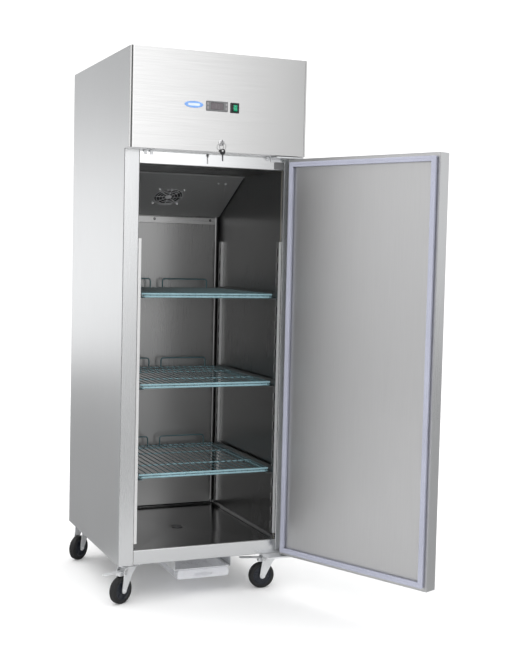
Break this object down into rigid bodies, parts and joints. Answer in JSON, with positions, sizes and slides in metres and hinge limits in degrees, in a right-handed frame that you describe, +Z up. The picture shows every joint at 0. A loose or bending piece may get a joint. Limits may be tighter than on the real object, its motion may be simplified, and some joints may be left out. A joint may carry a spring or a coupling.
{
  "type": "reach in refrigerator",
  "caption": "Upright single-door stainless refrigerator on swivel casters: open hinged door, coated wire shelves, slanted fan cover, drip tray, top unit behind a lift-up fascia.",
  "frame": {"origin": "on the floor, under the middle of the cabinet's width, at the face of the front frame that the door gasket closes on", "axes": "+X to the right seen from the front, +Y from the door towards the back, +Z up"},
  "size_m": [1.0076, 1.4058, 2.01],
  "materials": {
    "brushed_outer": "satin",
    "mirror_trim": "polished",
    "brushed_inner": "satin",
    "galvanised": "satin",
    "foam": "matte",
    "zinc": "satin",
    "black_plastic": "matte",
    "bezel_plastic": "satin",
    "button_plastic": "satin",
    "green_plastic": "gloss",
    "badge_blue": "gloss",
    "coil_aluminium": "satin",
    "copper": "satin",
    "black_paint": "satin",
    "grey_paint": "satin",
    "coated_wire": "satin",
    "gasket_vinyl": "matte",
    "nylon": "satin",
    "tray_plastic": "satin",
    "box_plastic": "matte",
    "key_steel": "polished",
    "tyre_rubber": "matte",
    "runner_steel": "satin"
  },
  "bodies": {
    "cabinet": {"side_panels": "brushed_outer", "back_panel": "galvanised", "insulation": "foam", "liner": "brushed_inner", "floor_pan": "brushed_inner", "front_frame": "brushed_outer", "duct_panel": "brushed_inner", "evaporator_cover": "brushed_inner", "fan_frame": "black_plastic", "fan_guard": "zinc", "evaporator_coil": "coil_aluminium", "panel_screws": "zinc", "shelf_uprights": "brushed_inner", "shelf_runners": "runner_steel", "hinge_brackets": "zinc", "tray_rails": "grey_paint", "caster_plates": "zinc", "roof_panel": "brushed_outer", "rear_grille": "galvanised", "unit_deck": "galvanised", "compressor": "black_paint", "condenser_coil": "coil_aluminium", "condenser_shroud": "grey_paint", "refrigerant_pipes": "copper", "electrical_box": "box_plastic", "fascia_hinge_rail": "galvanised"},
    "door": {"door_skin": "brushed_outer", "door_foam": "foam", "door_liner": "brushed_outer", "door_gasket": "gasket_vinyl", "door_bushes": "nylon"},
    "fascia": {"fascia": "brushed_outer", "badge": "badge_blue", "controller": "bezel_plastic", "rocker_bezel": "black_plastic", "lock_body": "zinc"},
    "button_set": {"button_set": "button_plastic"},
    "button_up": {"button_up": "button_plastic"},
    "button_down": {"button_down": "button_plastic"},
    "button_defrost": {"button_defrost": "button_plastic"},
    "rocker": {"rocker": "green_plastic"},
    "lock_plug": {"lock_plug": "key_steel"},
    "key_ring": {"key_ring": "key_steel"},
    "spare_key": {"spare_key": "black_plastic"},
    "shelf_upper": {"shelf_upper": "coated_wire"},
    "shelf_middle": {"shelf_middle": "coated_wire"},
    "shelf_lower": {"shelf_lower": "coated_wire"},
    "drip_tray": {"drip_tray": "tray_plastic"},
    "evaporator_fan": {"evaporator_fan": "black_plastic"},
    "condenser_fan": {"condenser_fan": "coil_aluminium"},
    "fork_fl": {"fork_fl": "zinc"},
    "wheel_fl": {"wheel_fl": "tyre_rubber"},
    "fork_fr": {"fork_fr": "zinc"},
    "wheel_fr": {"wheel_fr": "tyre_rubber"},
    "fork_rl": {"fork_rl": "zinc"},
    "wheel_rl": {"wheel_rl": "tyre_rubber"},
    "fork_rr": {"fork_rr": "zinc"},
    "wheel_rr": {"wheel_rr": "tyre_rubber"},
    "pedal_fl": {"pedal_fl": "zinc"},
    "pedal_fr": {"pedal_fr": "zinc"}
  },
  "joints": [
    {"name": "door_hinge", "type": "hinge", "parent": "cabinet", "child": "door", "pos_m": [0.318, -0.042, 0.9], "axis": [0, 0, 1], "range_deg": [-114.1, 35.9]},
    {"name": "fascia_hinge", "type": "hinge", "parent": "cabinet", "child": "fascia", "pos_m": [0, -0.0497, 2.0065], "axis": [-1, 0, 0], "range_deg": [0, 75]},
    {"name": "button_set_press", "type": "slide", "parent": "fascia", "child": "button_set", "axis": [0, 1, 0], "range_m": [0, 0.001], "stiffness_N_per_m": 300},
    {"name": "button_up_press", "type": "slide", "parent": "fascia", "child": "button_up", "axis": [0, 1, 0], "range_m": [0, 0.001], "stiffness_N_per_m": 300},
    {"name": "button_down_press", "type": "slide", "parent": "fascia", "child": "button_down", "axis": [0, 1, 0], "range_m": [0, 0.001], "stiffness_N_per_m": 300},
    {"name": "button_defrost_press", "type": "slide", "parent": "fascia", "child": "button_defrost", "axis": [0, 1, 0], "range_m": [0, 0.001], "stiffness_N_per_m": 300},
    {"name": "rocker_tilt", "type": "hinge", "parent": "fascia", "child": "rocker", "pos_m": [0.051, -0.062, 1.8175], "axis": [1, 0, 0], "range_deg": [0, 16]},
    {"name": "lock_turn", "type": "hinge", "parent": "fascia", "child": "lock_plug", "pos_m": [0.003, -0.065, 1.69], "axis": [0, 1, 0], "range_deg": [0, 90]},
    {"name": "ring_swing", "type": "hinge", "parent": "lock_plug", "child": "key_ring", "pos_m": [0.003, -0.078, 1.6885], "axis": [0, 1, 0], "range_deg": [-20, 20]},
    {"name": "spare_key_swing", "type": "hinge", "parent": "key_ring", "child": "spare_key", "pos_m": [0.003, -0.078, 1.6635], "axis": [1, 0, 0], "range_deg": [-10, 10]},
    {"name": "shelf_upper_slide", "type": "slide", "parent": "cabinet", "child": "shelf_upper", "axis": [0, -1, 0], "range_m": [0, 0.45]},
    {"name": "shelf_middle_slide", "type": "slide", "parent": "cabinet", "child": "shelf_middle", "axis": [0, -1, 0], "range_m": [0, 0.45]},
    {"name": "shelf_lower_slide", "type": "slide", "parent": "cabinet", "child": "shelf_lower", "axis": [0, -1, 0], "range_m": [0, 0.45]},
    {"name": "drip_tray_slide", "type": "slide", "parent": "cabinet", "child": "drip_tray", "axis": [0, -1, 0], "range_m": [0, 0.3]},
    {"name": "evaporator_fan_spin", "type": "hinge", "parent": "cabinet", "child": "evaporator_fan", "pos_m": [0.003, 0.5363, 1.52989], "axis": [0, 0.4932, 0.8699], "continuous": true},
    {"name": "condenser_fan_spin", "type": "hinge", "parent": "cabinet", "child": "condenser_fan", "pos_m": [-0.095, 0.158, 1.82], "axis": [0, 1, 0], "continuous": true},
    {"name": "swivel_fl", "type": "hinge", "parent": "cabinet", "child": "fork_fl", "pos_m": [-0.285, 0.058, 0.12], "axis": [0, 0, 1], "continuous": true},
    {"name": "swivel_fr", "type": "hinge", "parent": "cabinet", "child": "fork_fr", "pos_m": [0.291, 0.058, 0.12], "axis": [0, 0, 1], "continuous": true},
    {"name": "swivel_rl", "type": "hinge", "parent": "cabinet", "child": "fork_rl", "pos_m": [-0.285, 0.7, 0.12], "axis": [0, 0, 1], "continuous": true},
    {"name": "swivel_rr", "type": "hinge", "parent": "cabinet", "child": "fork_rr", "pos_m": [0.285, 0.7, 0.12], "axis": [0, 0, 1], "continuous": true},
    {"name": "wheel_spin_fl", "type": "hinge", "parent": "fork_fl", "child": "wheel_fl", "pos_m": [-0.31757, 0.03843, 0.05], "axis": [-0.515, 0.8572, 0], "continuous": true},
    {"name": "wheel_spin_fr", "type": "hinge", "parent": "fork_fr", "child": "wheel_fr", "pos_m": [0.25309, 0.06065, 0.05], "axis": [0.0698, 0.9976, 0], "continuous": true},
    {"name": "wheel_spin_rl", "type": "hinge", "parent": "fork_rl", "child": "wheel_rl", "pos_m": [-0.31494, 0.6766, 0.05], "axis": [-0.6157, 0.788, 0], "continuous": true},
    {"name": "wheel_spin_rr", "type": "hinge", "parent": "fork_rr", "child": "wheel_rr", "pos_m": [0.24783, 0.6921, 0.05], "axis": [-0.2079, 0.9781, 0], "continuous": true},
    {"name": "brake_fl", "type": "hinge", "parent": "fork_fl", "child": "pedal_fl", "pos_m": [-0.31329, 0.041, 0.116], "axis": [0.515, -0.8572, 0], "range_deg": [0, 12]},
    {"name": "brake_fr", "type": "hinge", "parent": "fork_fr", "child": "pedal_fr", "pos_m": [0.25808, 0.0603, 0.116], "axis": [-0.0698, -0.9976, 0], "range_deg": [0, 12]}
  ]
}
